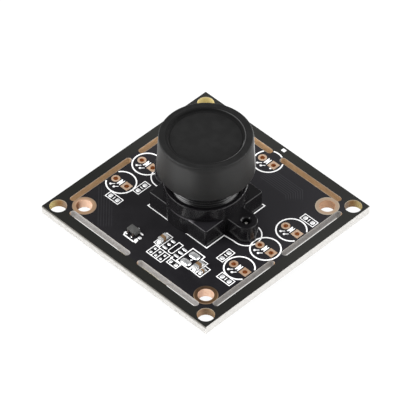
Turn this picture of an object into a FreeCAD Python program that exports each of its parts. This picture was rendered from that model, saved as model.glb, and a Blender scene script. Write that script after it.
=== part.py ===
import FreeCAD, Part
import math
import os

# Bare camera module: a square circuit board, a moulded lens holder screwed to it,
# a threaded lens with its glass inside, and a push-on dust cap.
# Sizes are in millimetres. The origin is on the board's back face, on the lens axis.
# +Z is the way the lens looks. +X runs through the holder's two ears.

# Circuit board and its two sets of mounting holes
board_side = 37.8
board_thickness = 1.6
outer_hole_inset = 1.9
outer_hole_diameter = 2.9
inner_hole_inset = 1.875
inner_hole_diameter = 2.6
hole_ring_diameter = 4.0
plating_wall = 0.06
copper_height = 0.04

# Slots routed round the inner board, two along each side with a bridge between them.
# Past the slots the outer frame is a narrow band, and the bridges let it snap off.
frame_band = 1.875
slot_width = 1.15
slot_bridge = 2.0
slot_corner_gap = 1.225

# Empty footprints for two-lead lamps: a column of three left and right, one at the top
lamp_column_inset = 2.275
lamp_top_inset = 1.375
lamp_row_pitch = 6.0
lamp_lead_pitch = 2.54
lamp_hole_diameter = 0.85
lamp_pad_size = 1.5

# The lens thread, which the holder and the barrel share
lens_thread_diameter = 12.0

# Lens holder: square base, two ears with screw holes, round collar with the lens bore
holder_side_wall = 0.55
holder_base_height = 3.4
holder_height = 6.0
holder_collar_wall = 0.9
holder_collar_ledge = 0.08
holder_edge_round = 0.16
holder_corner_round = 0.35
holder_mouth_chamfer = 0.25
holder_cavity_side = 10.0
holder_cavity_height = 1.8
ear_reach = 2.65
ear_radius = 1.88
ear_hole_diameter = 1.4
ear_hole_chamfer = 0.2

# Self-tapping screws that come up through the board into the ears
screw_core_clearance = 0.04
screw_board_clearance = 0.5
screw_head_diameter = 3.0
screw_head_height = 1.1
screw_head_chamfer = 0.35
screw_tip_depth = 0.5
screw_tip_radius = 0.14
screw_cross_length = 1.7
screw_cross_width = 0.42
screw_cross_depth = 0.55

# Image sensor and its cover glass
sensor_length = 7.4
sensor_width = 6.2
sensor_height = 0.6
sensor_glass_margin = 0.25
sensor_glass_thickness = 0.4

# Lens barrel
thread_clearance = 0.05
barrel_rear_gap = 0.6
barrel_thread_length = 6.2
barrel_shoulder = 1.0
barrel_head_length = 6.0
barrel_chamfer = 0.25
barrel_hood_depth = 1.3
barrel_hood_front_radius = 6.2
barrel_hood_rear_radius = 5.5
front_bore_radius = 5.2
front_bore_depth = 4.1
rear_bore_radius = 3.4
rear_lip_radius = 2.7
rear_lip_thickness = 0.5
filter_recess_radius = 4.55
filter_recess_depth = 0.7
filter_thickness = 0.55

# Glass elements, spacer rings, stop and retaining ring, from the rear to the front
glass_clearance = 0.05
glass_gap = 0.02
glass_rim = 0.7
rear_element_edge = 1.58
rear_element_rear_bulge = -0.35
rear_element_front_bulge = 0.45
rear_spacer_length = 1.08
spacer_wall = 0.45
stop_thickness = 0.15
stop_hole_radius = 1.3
middle_element_edge = 1.5
middle_element_rear_bulge = 0.25
middle_element_front_bulge = -0.3
second_element_edge = 1.4
second_element_rear_bulge = 0.9
second_element_front_bulge = 0.55
front_spacer_length = 0.9
front_element_edge = 0.9
front_element_rear_bulge = 0.5
front_element_front_bulge = 0.85
ring_length = 0.75
ring_notch_width = 0.8
ring_notch_depth = 0.4

# Dust cap, pushed over the lens head
cap_clearance = 0.05
cap_front_gap = 0.1
cap_wall = 0.98
cap_draft = 0.35
cap_height = 6.9
cap_roof = 0.9
cap_rim_width = 1.45
cap_recess_depth = 0.6
cap_recess_draft = 0.15
cap_top_round = 0.3
cap_mouth_chamfer = 0.2

# Chip capacitors and resistors: length, width, height, length of each end
chip_0603 = (1.65, 0.85, 0.8, 0.35)
chip_0402 = (1.05, 0.55, 0.5, 0.25)
resistor_0402 = (1.05, 0.55, 0.35, 0.22)
# Each place is a distance along X and a distance in from the inner board's -Y edge
front_capacitor_a = (0.5, 5.62)
front_capacitor_b = (8.8, 5.42)
front_capacitor_c = (10.05, 5.07)

# Small transistor on the front
transistor_spot = (-4.1, 3.48)
transistor_length = 2.0
transistor_width = 1.25
transistor_height = 0.8
transistor_span = 2.1
transistor_lead_foot = 0.25
transistor_lead_pitch = 1.1
transistor_lead_width = 0.3

# Moulded packages on the back, and the leads they share
mould_draft = 0.08
mould_stand_off = 0.08
lead_thickness = 0.13
lead_foot = 0.45
pin_mark_diameter = 0.6
pin_mark_inset = 0.8
pin_mark_depth = 0.06
part_gap = 0.5
processor_shift = -0.5
processor_side = 7.0
processor_span = 9.0
processor_height = 1.4
processor_leads_per_side = 12
processor_lead_pitch = 0.5
processor_lead_width = 0.22
flash_length = 3.0
flash_width = 4.4
flash_span = 6.4
flash_height = 1.1
flash_lead_pitch = 0.65
flash_lead_width = 0.25
regulator_length = 2.9
regulator_width = 1.6
regulator_span = 2.8
regulator_height = 1.1
regulator_lead_pitch = 0.95
regulator_lead_width = 0.35

# Crystal, power inductor and tantalum capacitor on the back
crystal_length = 5.0
crystal_width = 3.2
crystal_base_height = 0.45
crystal_height = 1.1
crystal_lid_margin = 0.3
crystal_corner_round = 0.5
inductor_side = 3.0
inductor_height = 1.5
inductor_corner_cut = 0.45
terminal_width = 1.3
terminal_thickness = 0.15
terminal_reach = 0.8
tantalum_length = 3.5
tantalum_width = 2.8
tantalum_height = 1.9
tantalum_terminal_width = 2.2

# Side-entry wire connectors on the back: one for power and signal, two small ones
pin_pitch = 1.25
pin_size = 0.32
pin_height = 1.75
pin_foot = 0.7
pin_reach = 1.0
signal_pin_count = 5
small_pin_count = 2
housing_side_room = 2.25
housing_depth = 4.4
housing_height = 3.4
housing_wall = 0.55
housing_back_wall = 1.1
housing_key_width = 0.8
housing_key_length = 1.8
housing_edge_gap = 0.5
small_connector_x = 7.0
tab_thickness = 0.25
tab_length = 1.5
tab_height = 1.5
tab_foot = 0.75

# Values worked out from the sizes above
outer_hole_spacing = board_side - 2 * outer_hole_inset
slot_line_offset = board_side / 2 - frame_band - slot_width / 2
inner_board_half = slot_line_offset - slot_width / 2
inner_hole_spacing = 2 * (inner_board_half - inner_hole_inset)
slot_start = slot_bridge / 2
slot_length = inner_board_half - slot_start - slot_corner_gap
lamp_column_x = inner_board_half - lamp_column_inset
lamp_top_y = inner_board_half - lamp_top_inset
holder_side = lens_thread_diameter + 2 * holder_side_wall
holder_collar_radius = lens_thread_diameter / 2 + holder_collar_wall
ear_offset = holder_side / 2 + ear_reach
holder_base_top = board_thickness + holder_base_height
holder_top = board_thickness + holder_height
holder_shelf = board_thickness + holder_cavity_height
barrel_thread_radius = lens_thread_diameter / 2 - thread_clearance
barrel_head_radius = lens_thread_diameter / 2 + barrel_shoulder
barrel_rear = holder_shelf + barrel_rear_gap
barrel_head_rear = barrel_rear + barrel_thread_length
barrel_front = barrel_head_rear + barrel_head_length
front_seat = barrel_front - barrel_hood_depth - front_bore_depth
rear_seat = barrel_rear + filter_recess_depth + rear_lip_thickness
cap_ceiling = barrel_front + cap_front_gap
cap_inner_radius = barrel_head_radius + cap_clearance
cap_top = cap_ceiling + cap_roof + cap_recess_depth
cap_bottom = cap_top - cap_height
lamp_spots = [(side * lamp_column_x, row * lamp_row_pitch) for side in (-1, 1) for row in (-1, 0, 1)]
lamp_spots.append((0.0, lamp_top_y))


def vector(x, y, z):
    return FreeCAD.Vector(x, y, z)


def box(x0, x1, y0, y1, z0, z1):
    return Part.makeBox(x1 - x0, y1 - y0, z1 - z0, vector(x0, y0, z0))


def centred_box(length, width, z0, z1, x=0.0, y=0.0):
    return box(x - length / 2, x + length / 2, y - width / 2, y + width / 2, z0, z1)


def cylinder(radius, z0, z1, x=0.0, y=0.0):
    return Part.makeCylinder(radius, z1 - z0, vector(x, y, z0))


def fused(solids):
    """One clean solid from several that touch or overlap."""
    whole = solids[0].fuse(solids[1:])
    return whole.removeSplitter()


def single(shape):
    """The one solid that a cut leaves inside its compound."""
    solids = shape.Solids
    if len(solids) != 1:
        raise ValueError("expected one solid, found %d" % len(solids))
    return solids[0]


def rounded_outline(corners):
    """A closed wire in the XZ plane through corners (x, z) or (x, z, radius of the corner)."""
    points = [vector(corner[0], 0.0, corner[1]) for corner in corners]
    radii = [corner[2] if len(corner) > 2 else 0.0 for corner in corners]
    count = len(points)
    entries = []
    exits = []
    middles = []
    for index in range(count):
        here = points[index]
        before = (points[index - 1] - here).normalize()
        after = (points[(index + 1) % count] - here).normalize()
        half_angle = before.getAngle(after) / 2
        reach = radii[index] / math.tan(half_angle)
        bisector = (before + after)
        entries.append(here + before * reach)
        exits.append(here + after * reach)
        if radii[index] > 0:
            depth = radii[index] / math.sin(half_angle) - radii[index]
            middles.append(here + bisector.normalize() * depth)
        else:
            middles.append(here)
    edges = []
    for index in range(count):
        if radii[index] > 0:
            arc = Part.Arc(entries[index], middles[index], exits[index])
            edges.append(arc.toShape())
        following = entries[(index + 1) % count]
        if exits[index].distanceToPoint(following) > 1e-7:
            edges.append(Part.LineSegment(exits[index], following).toShape())
    return Part.Wire(edges)


def turned(corners):
    """A solid of revolution about the lens axis from a rounded outline of (radius, z)."""
    face = Part.Face(rounded_outline(corners))
    return face.revolve(vector(0, 0, 0), vector(0, 0, 1), 360)


def stadium(length, width, z0, z1):
    """A bar along X with full round ends, centred on the Z axis."""
    straight = (length - width) / 2
    half = width / 2
    top = Part.LineSegment(vector(-straight, half, z0), vector(straight, half, z0))
    bottom = Part.LineSegment(vector(straight, -half, z0), vector(-straight, -half, z0))
    right = Part.Arc(vector(straight, half, z0), vector(length / 2, 0, z0), vector(straight, -half, z0))
    left = Part.Arc(vector(-straight, -half, z0), vector(-length / 2, 0, z0), vector(-straight, half, z0))
    wire = Part.Wire([edge.toShape() for edge in (top, right, bottom, left)])
    return Part.Face(wire).extrude(vector(0, 0, z1 - z0))


def placed(shape, x=0.0, y=0.0, z=0.0, turn=0.0):
    """A copy turned about Z, then moved."""
    copy = shape.copy()
    copy.rotate(vector(0, 0, 0), vector(0, 0, 1), turn)
    copy.translate(vector(x, y, z))
    return copy


def on_front(shape, x, y, turn=0.0):
    """A part built standing on z = 0, set on the board's front face."""
    return placed(shape, x, y, board_thickness, turn)


def on_back(shape, x, y, turn=0.0):
    """A part built standing on z = 0, set upside down on the board's back face."""
    flipped = shape.copy()
    flipped.rotate(vector(0, 0, 0), vector(1, 0, 0), 180)
    return placed(flipped, x, y, 0.0, turn)


def square_pattern(spacing):
    half = spacing / 2
    return [(-half, -half), (half, -half), (half, half), (-half, half)]


# Circuit board

def slot_cutters(z0, z1):
    """The eight slots, two on each side of the board."""
    centre = slot_start + slot_length / 2
    slot = stadium(slot_length, slot_width, z0, z1)
    cutters = []
    for quarter in range(4):
        for side in (-1, 1):
            one = placed(slot, side * centre, -slot_line_offset)
            cutters.append(placed(one, turn=90.0 * quarter))
    return cutters


def lamp_lead_spots():
    spots = []
    for x, y in lamp_spots:
        spots.append((x - lamp_lead_pitch / 2, y))
        spots.append((x + lamp_lead_pitch / 2, y))
    return spots


def board():
    plate = centred_box(board_side, board_side, 0.0, board_thickness)
    low = -1.0
    high = board_thickness + 1.0
    cutters = slot_cutters(low, high)
    for x, y in square_pattern(outer_hole_spacing):
        cutters.append(cylinder(outer_hole_diameter / 2, low, high, x, y))
    for x, y in square_pattern(inner_hole_spacing):
        cutters.append(cylinder(inner_hole_diameter / 2 + plating_wall, low, high, x, y))
    for x, y in lamp_lead_spots():
        cutters.append(cylinder(lamp_hole_diameter / 2 + plating_wall, low, high, x, y))
    for side in (-1, 1):
        radius = (ear_hole_diameter + screw_board_clearance) / 2
        cutters.append(cylinder(radius, low, high, side * ear_offset))
    return single(plate.cut(cutters))


def plated_hole(hole_diameter, front_pad, back_pad):
    """Copper through a hole: a thin barrel in the board with a pad on each face."""
    low = -copper_height
    high = board_thickness + copper_height
    barrel = cylinder(hole_diameter / 2 + plating_wall, low, high)
    hole = cylinder(hole_diameter / 2, low - 1.0, high + 1.0)
    return single(fused([barrel, front_pad, back_pad]).cut(hole))


def round_pad(diameter, z):
    return cylinder(diameter / 2, z, z + copper_height)


def square_pad(side, z):
    return centred_box(side, side, z, z + copper_height)


def hole_rings():
    """Copper eyes of the inner mounting holes, trimmed where the slots run past."""
    eye = plated_hole(inner_hole_diameter, round_pad(hole_ring_diameter, board_thickness),
                      round_pad(hole_ring_diameter, -copper_height))
    slots = slot_cutters(-1.0, board_thickness + 1.0)
    eyes = [single(placed(eye, x, y).cut(slots)) for x, y in square_pattern(inner_hole_spacing)]
    return Part.makeCompound(eyes)


def lamp_pads():
    """Two plated pads for each lamp: a round one, and a square one that marks the pole."""
    back_pad = round_pad(lamp_pad_size, -copper_height)
    round_eye = plated_hole(lamp_hole_diameter, round_pad(lamp_pad_size, board_thickness), back_pad)
    square_eye = plated_hole(lamp_hole_diameter, square_pad(lamp_pad_size, board_thickness), back_pad)
    slots = slot_cutters(-1.0, board_thickness + 1.0)
    pads = []
    for x, y in lamp_spots:
        pads.append(single(placed(round_eye, x - lamp_lead_pitch / 2, y).cut(slots)))
        pads.append(single(placed(square_eye, x + lamp_lead_pitch / 2, y).cut(slots)))
    return Part.makeCompound(pads)


# Lens holder and its screws

def edges_where(shape, test):
    return [edge for edge in shape.Edges if test(edge.BoundBox)]


def holder_block():
    block = centred_box(holder_side, holder_side, board_thickness, holder_base_top)
    upright = edges_where(block, lambda bounds: bounds.ZLength > holder_base_height / 2)
    block = block.makeFillet(holder_corner_round, upright)
    upper = edges_where(block, lambda bounds: bounds.ZMin > holder_base_top - 1e-3)
    return block.makeFillet(holder_edge_round, upper)


def holder_ears():
    """One bar with round ends through the middle: its two ends are the ears."""
    bar = stadium(2 * (ear_offset + ear_radius), 2 * ear_radius, board_thickness, holder_base_top)
    upper = edges_where(bar, lambda bounds: bounds.ZMin > holder_base_top - 1e-3)
    return bar.makeFillet(holder_edge_round, upper)


def lens_holder():
    foot_radius = holder_collar_radius + holder_collar_ledge
    collar = turned([(0.0, board_thickness), (foot_radius, board_thickness), (foot_radius, holder_base_top),
                     (holder_collar_radius, holder_base_top),
                     (holder_collar_radius, holder_top, holder_edge_round), (0.0, holder_top)])
    moulding = fused([holder_block(), holder_ears(), collar])
    bore_radius = lens_thread_diameter / 2
    mouth_radius = bore_radius + holder_mouth_chamfer
    bore = turned([(0.0, holder_shelf), (bore_radius, holder_shelf),
                   (bore_radius, holder_top - holder_mouth_chamfer), (mouth_radius, holder_top),
                   (mouth_radius, holder_top + 1.0), (0.0, holder_top + 1.0)])
    cavity = centred_box(holder_cavity_side, holder_cavity_side, board_thickness - 1.0, holder_shelf)
    cutters = [bore, cavity]
    hole_radius = ear_hole_diameter / 2
    for side in (-1, 1):
        hole = turned([(0.0, board_thickness - 1.0), (hole_radius, board_thickness - 1.0),
                       (hole_radius, holder_base_top - ear_hole_chamfer),
                       (hole_radius + ear_hole_chamfer, holder_base_top),
                       (hole_radius + ear_hole_chamfer, holder_base_top + 1.0),
                       (0.0, holder_base_top + 1.0)])
        cutters.append(placed(hole, side * ear_offset))
    return single(moulding.cut(cutters))


def holder_screw():
    """Pan head on the board's back, shank up into the ear, blunt tip below the ear's top."""
    shank_radius = ear_hole_diameter / 2 - screw_core_clearance
    head_radius = screw_head_diameter / 2
    tip = holder_base_top - screw_tip_depth
    body = turned([(0.0, -screw_head_height), (head_radius - screw_head_chamfer, -screw_head_height),
                   (head_radius, screw_head_chamfer - screw_head_height), (head_radius, 0.0),
                   (shank_radius, 0.0), (shank_radius, tip - shank_radius + screw_tip_radius),
                   (screw_tip_radius, tip), (0.0, tip)])
    depth = -screw_head_height + screw_cross_depth
    low = -screw_head_height - 1.0
    first = centred_box(screw_cross_length, screw_cross_width, low, depth)
    second = centred_box(screw_cross_width, screw_cross_length, low, depth)
    return single(body.cut([first, second]))


def holder_screws():
    screw = holder_screw()
    return Part.makeCompound([placed(screw, side * ear_offset) for side in (-1, 1)])


# Image sensor

def sensor():
    return on_front(centred_box(sensor_length, sensor_width, 0.0, sensor_height), 0.0, 0.0)


def sensor_glass():
    length = sensor_length - 2 * sensor_glass_margin
    width = sensor_width - 2 * sensor_glass_margin
    glass = centred_box(length, width, sensor_height, sensor_height + sensor_glass_thickness)
    return on_front(glass, 0.0, 0.0)


# Lens

def lens_barrel():
    """Threaded tube and wide head in one turned piece, bored in steps from both ends."""
    hood_rear = barrel_front - barrel_hood_depth
    lip_rear = barrel_rear + filter_recess_depth
    return turned([(barrel_thread_radius - barrel_chamfer, barrel_rear),
                   (barrel_thread_radius, barrel_rear + barrel_chamfer),
                   (barrel_thread_radius, barrel_head_rear),
                   (barrel_head_radius - barrel_chamfer, barrel_head_rear),
                   (barrel_head_radius, barrel_head_rear + barrel_chamfer),
                   (barrel_head_radius, barrel_front - barrel_chamfer),
                   (barrel_head_radius - barrel_chamfer, barrel_front),
                   (barrel_hood_front_radius, barrel_front),
                   (barrel_hood_rear_radius, hood_rear),
                   (front_bore_radius, hood_rear),
                   (front_bore_radius, front_seat),
                   (rear_bore_radius, front_seat),
                   (rear_bore_radius, rear_seat),
                   (rear_lip_radius, rear_seat),
                   (rear_lip_radius, lip_rear),
                   (filter_recess_radius, lip_rear),
                   (filter_recess_radius, barrel_rear)])


def ground_arc(radius, edge_z, bulge):
    """An arc from the axis to the clear edge of a ground face. bulge is the axis height over the edge."""
    bend = (radius * radius + bulge * bulge) / (2 * abs(bulge))
    half = radius / 2
    drop = bend - math.sqrt(bend * bend - half * half)
    middle_z = edge_z + bulge - math.copysign(drop, bulge)
    return Part.Arc(vector(0, 0, edge_z + bulge), vector(half, 0, middle_z), vector(radius, 0, edge_z))


def element(radius, rear, edge, rear_bulge, front_bulge):
    """A glass element: two spherical faces inside a flat rim, and a ground edge."""
    clear = radius - glass_rim
    front = rear + edge
    corners = [vector(clear, 0, rear), vector(radius, 0, rear), vector(radius, 0, front),
               vector(clear, 0, front)]
    edges = [ground_arc(clear, rear, rear_bulge).toShape()]
    for start, end in zip(corners, corners[1:]):
        edges.append(Part.LineSegment(start, end).toShape())
    edges.append(ground_arc(clear, front, front_bulge).toShape())
    axis = Part.LineSegment(vector(0, 0, front + front_bulge), vector(0, 0, rear + rear_bulge))
    edges.append(axis.toShape())
    wire = Part.Wire(Part.__sortEdges__(edges))
    return Part.Face(wire).revolve(vector(0, 0, 0), vector(0, 0, 1), 360)


def ring(outer, inner, z0, z1):
    return turned([(inner, z0), (outer, z0), (outer, z1), (inner, z1)])


def lens_stack():
    """Everything inside the barrel, each piece seated on the one behind it."""
    small = rear_bore_radius - glass_clearance
    large = front_bore_radius - glass_clearance
    stack = {}
    filter_front = barrel_rear + filter_recess_depth - glass_gap
    stack["infrared_filter"] = cylinder(filter_recess_radius - glass_clearance,
                                        filter_front - filter_thickness, filter_front)
    z = rear_seat + glass_gap
    stack["rear_element"] = element(small, z, rear_element_edge, rear_element_rear_bulge,
                                    rear_element_front_bulge)
    z += rear_element_edge + glass_gap
    stack["rear_spacer"] = ring(small, small - spacer_wall, z, z + rear_spacer_length)
    z += rear_spacer_length
    stack["aperture_stop"] = ring(small, stop_hole_radius, z, z + stop_thickness)
    z += stop_thickness + glass_gap
    stack["middle_element"] = element(small, z, middle_element_edge, middle_element_rear_bulge,
                                      middle_element_front_bulge)
    z += middle_element_edge + glass_gap
    stack["middle_spacer"] = ring(small, small - spacer_wall, z, front_seat)
    z = front_seat + glass_gap
    stack["second_element"] = element(large, z, second_element_edge, second_element_rear_bulge,
                                      second_element_front_bulge)
    z += second_element_edge + glass_gap
    stack["front_spacer"] = ring(large, large - spacer_wall, z, z + front_spacer_length)
    z += front_spacer_length + glass_gap
    stack["front_element"] = element(large, z, front_element_edge, front_element_rear_bulge,
                                     front_element_front_bulge)
    z += front_element_edge + glass_gap
    threaded = ring(large, large - spacer_wall, z, z + ring_length)
    top = z + ring_length
    notch = centred_box(2 * large + 1.0, ring_notch_width, top - ring_notch_depth, top + 1.0)
    stack["retaining_ring"] = single(threaded.cut(notch))
    return stack


def lens_cap():
    """A cup with a slightly tapered wall and a shallow round recess in its flat top."""
    bottom_radius = cap_inner_radius + cap_wall
    top_radius = bottom_radius - cap_draft
    rim_inner = top_radius - cap_rim_width
    recess_floor = cap_top - cap_recess_depth
    return turned([(0.0, cap_ceiling), (cap_inner_radius, cap_ceiling),
                   (cap_inner_radius, cap_bottom + cap_mouth_chamfer),
                   (cap_inner_radius + cap_mouth_chamfer, cap_bottom),
                   (bottom_radius - cap_mouth_chamfer, cap_bottom),
                   (bottom_radius, cap_bottom + cap_mouth_chamfer),
                   (top_radius, cap_top, cap_top_round),
                   (rim_inner, cap_top),
                   (rim_inner - cap_recess_draft, recess_floor),
                   (0.0, recess_floor)])


# Soldered parts, each built standing on z = 0

def chip_body(size):
    length, width, height, end = size
    return centred_box(length - 2 * end, width, 0.0, height)


def chip_ends(size):
    length, width, height, end = size
    offset = (length - end) / 2
    return [centred_box(end, width, 0.0, height, side * offset) for side in (-1, 1)]


def rectangle(length, width, z):
    half_x = length / 2
    half_y = width / 2
    return Part.makePolygon([vector(-half_x, -half_y, z), vector(half_x, -half_y, z),
                             vector(half_x, half_y, z), vector(-half_x, half_y, z),
                             vector(-half_x, -half_y, z)])


def moulded_package(length, width, height):
    """A moulded body: widest at its parting line, with draft above and below."""
    middle = (mould_stand_off + height) / 2
    inset = 2 * mould_draft
    sections = [rectangle(length - inset, width - inset, mould_stand_off),
                rectangle(length, width, middle),
                rectangle(length - inset, width - inset, height)]
    return Part.makeLoft(sections, True, True)


def pin_marked(package, length, width, height):
    """The package with a round dimple by its first lead."""
    x = pin_mark_inset - length / 2
    y = width / 2 - pin_mark_inset
    dimple = cylinder(pin_mark_diameter / 2, height - pin_mark_depth, height + 1.0, x, y)
    return single(package.cut(dimple))


def gull_lead(body_width, span, height, width, foot=lead_foot):
    """One bent lead that leaves a package along +X at its parting line."""
    exit_z = (mould_stand_off + height) / 2
    start = body_width / 2
    end = span / 2
    heel = end - foot
    knee = start + (heel - start) / 2
    half = lead_thickness / 2
    side = Part.makePolygon([vector(start, 0, exit_z - half), vector(knee - half, 0, exit_z - half),
                             vector(heel - half, 0, 0.0), vector(end, 0, 0.0),
                             vector(end, 0, lead_thickness), vector(heel + half, 0, lead_thickness),
                             vector(knee + half, 0, exit_z + half), vector(start, 0, exit_z + half),
                             vector(start, 0, exit_z - half)])
    lead = Part.Face(side).extrude(vector(0, width, 0))
    lead.translate(vector(0, -width / 2, 0))
    return lead


def lead_row(lead, count, pitch, turn):
    """A row of leads on one side of a package."""
    row = []
    for index in range(count):
        offset = (index - (count - 1) / 2) * pitch
        row.append(placed(placed(lead, y=offset), turn=turn))
    return row


def transistor():
    body = moulded_package(transistor_length, transistor_width, transistor_height)
    lead = gull_lead(transistor_width, transistor_span, transistor_height, transistor_lead_width,
                     transistor_lead_foot)
    leads = lead_row(lead, 2, transistor_lead_pitch, -90.0) + lead_row(lead, 1, transistor_lead_pitch, 90.0)
    return body, leads


def processor():
    body = moulded_package(processor_side, processor_side, processor_height)
    body = pin_marked(body, processor_side, processor_side, processor_height)
    lead = gull_lead(processor_side, processor_span, processor_height, processor_lead_width)
    leads = []
    for quarter in range(4):
        leads += lead_row(lead, processor_leads_per_side, processor_lead_pitch, 90.0 * quarter)
    return body, leads


def flash_chip():
    body = moulded_package(flash_width, flash_length, flash_height)
    body = pin_marked(body, flash_width, flash_length, flash_height)
    lead = gull_lead(flash_width, flash_span, flash_height, flash_lead_width)
    leads = lead_row(lead, 4, flash_lead_pitch, 0.0) + lead_row(lead, 4, flash_lead_pitch, 180.0)
    return body, leads


def regulator():
    body = moulded_package(regulator_length, regulator_width, regulator_height)
    lead = gull_lead(regulator_width, regulator_span, regulator_height, regulator_lead_width)
    leads = lead_row(lead, 3, regulator_lead_pitch, -90.0) + lead_row(lead, 2, 2 * regulator_lead_pitch, 90.0)
    return body, leads


def rounded_block(length, width, z0, z1, corner):
    block = centred_box(length, width, z0, z1)
    upright = edges_where(block, lambda bounds: bounds.ZLength > (z1 - z0) / 2)
    return block.makeFillet(corner, upright)


def crystal():
    base = centred_box(crystal_length, crystal_width, 0.0, crystal_base_height)
    lid = rounded_block(crystal_length - 2 * crystal_lid_margin, crystal_width - 2 * crystal_lid_margin,
                        crystal_base_height, crystal_height, crystal_corner_round)
    return base, lid


def wrapped_terminal(body_length, width, height):
    """A strip that climbs the end of a moulded body and folds under it, along +X."""
    end = body_length / 2
    foot = box(end - terminal_reach, end, -width / 2, width / 2, 0.0, terminal_thickness)
    wall = box(end, end + terminal_thickness, -width / 2, width / 2, 0.0, height)
    return fused([foot, wall])


def terminal_pair(body_length, width, height):
    terminal = wrapped_terminal(body_length, width, height)
    return [placed(terminal, turn=turn) for turn in (0.0, 180.0)]


def power_inductor():
    """A pressed ferrite block with cut corners, standing on its two end terminals."""
    block = centred_box(inductor_side, inductor_side, terminal_thickness, inductor_height)
    upright = edges_where(block, lambda bounds: bounds.ZLength > inductor_height / 2)
    block = block.makeChamfer(inductor_corner_cut, upright)
    return block, terminal_pair(inductor_side, terminal_width, inductor_height / 2)


def tantalum_capacitor():
    block = centred_box(tantalum_length, tantalum_width, terminal_thickness, tantalum_height)
    return block, terminal_pair(tantalum_length, tantalum_terminal_width, tantalum_height / 2)


# Connectors, mouth towards local -Y

def connector_pin():
    """A pin that stands in the housing's mouth, goes out at the back and down to its pad."""
    half = pin_size / 2
    front = -housing_depth / 2 + pin_reach
    back = housing_depth / 2
    side = Part.makePolygon([vector(0, front, pin_height - half), vector(0, back, pin_height - half),
                             vector(0, back, 0.0), vector(0, back + pin_foot, 0.0),
                             vector(0, back + pin_foot, pin_size),
                             vector(0, back + pin_size, pin_size),
                             vector(0, back + pin_size, pin_height + half),
                             vector(0, front, pin_height + half), vector(0, front, pin_height - half)])
    pin = Part.Face(side).extrude(vector(pin_size, 0, 0))
    pin.translate(vector(-half, 0, 0))
    return pin


def connector_width(pin_count):
    return (pin_count - 1) * pin_pitch + 2 * housing_side_room


def connector(pin_count):
    """Housing, pins and solder tabs of a side-entry wire connector."""
    width = connector_width(pin_count)
    front = -housing_depth / 2
    pin = connector_pin()
    first = -(pin_count - 1) * pin_pitch / 2
    pins = [placed(pin, first + index * pin_pitch) for index in range(pin_count)]
    shell = centred_box(width, housing_depth, 0.0, housing_height)
    mouth = box(-width / 2 + housing_wall, width / 2 - housing_wall, front - 1.0,
                housing_depth / 2 - housing_back_wall, housing_wall, housing_height - housing_wall)
    cutters = [mouth] + pins
    for side in (-1, 1):
        x = side * (width / 2 - 2 * housing_wall - housing_key_width / 2)
        key = box(x - housing_key_width / 2, x + housing_key_width / 2, front - 1.0,
                  front + housing_key_length, housing_height / 2, housing_height + 1.0)
        cutters.append(key)
    tab_wall = box(width / 2, width / 2 + tab_thickness, -tab_length / 2, tab_length / 2, 0.0, tab_height)
    tab_base = box(width / 2, width / 2 + tab_foot, -tab_length / 2, tab_length / 2, 0.0, tab_thickness)
    tab = fused([tab_wall, tab_base])
    tabs = [placed(tab, turn=turn) for turn in (0.0, 180.0)]
    return single(shell.cut(cutters)), pins, tabs


# Assembly: every sub-part in its place, by the name of its node

def add_soldered(parts, name, lead_name, built, spots, setter):
    """Bodies and their leads or ends, set on the board at each (x, y, turn)."""
    body, leads = built
    bodies = [setter(body, x, y, turn) for x, y, turn in spots]
    metal = [setter(lead, x, y, turn) for x, y, turn in spots for lead in leads]
    parts[name] = Part.makeCompound(bodies) if len(bodies) > 1 else bodies[0]
    parts[lead_name] = Part.makeCompound(metal)


def front_parts(parts):
    x, inset = transistor_spot
    add_soldered(parts, "transistor_body", "transistor_leads", transistor(),
                 [(x, inset - inner_board_half, 0.0)], on_front)
    bodies = []
    ends = []
    sizes = ((front_capacitor_a, chip_0603), (front_capacitor_b, chip_0603), (front_capacitor_c, chip_0402))
    for (x, inset), size in sizes:
        y = inset - inner_board_half
        bodies.append(on_front(chip_body(size), x, y, 90.0))
        ends += [on_front(end, x, y, 90.0) for end in chip_ends(size)]
    parts["front_capacitor_bodies"] = Part.makeCompound(bodies)
    parts["front_capacitor_ends"] = Part.makeCompound(ends)


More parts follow.
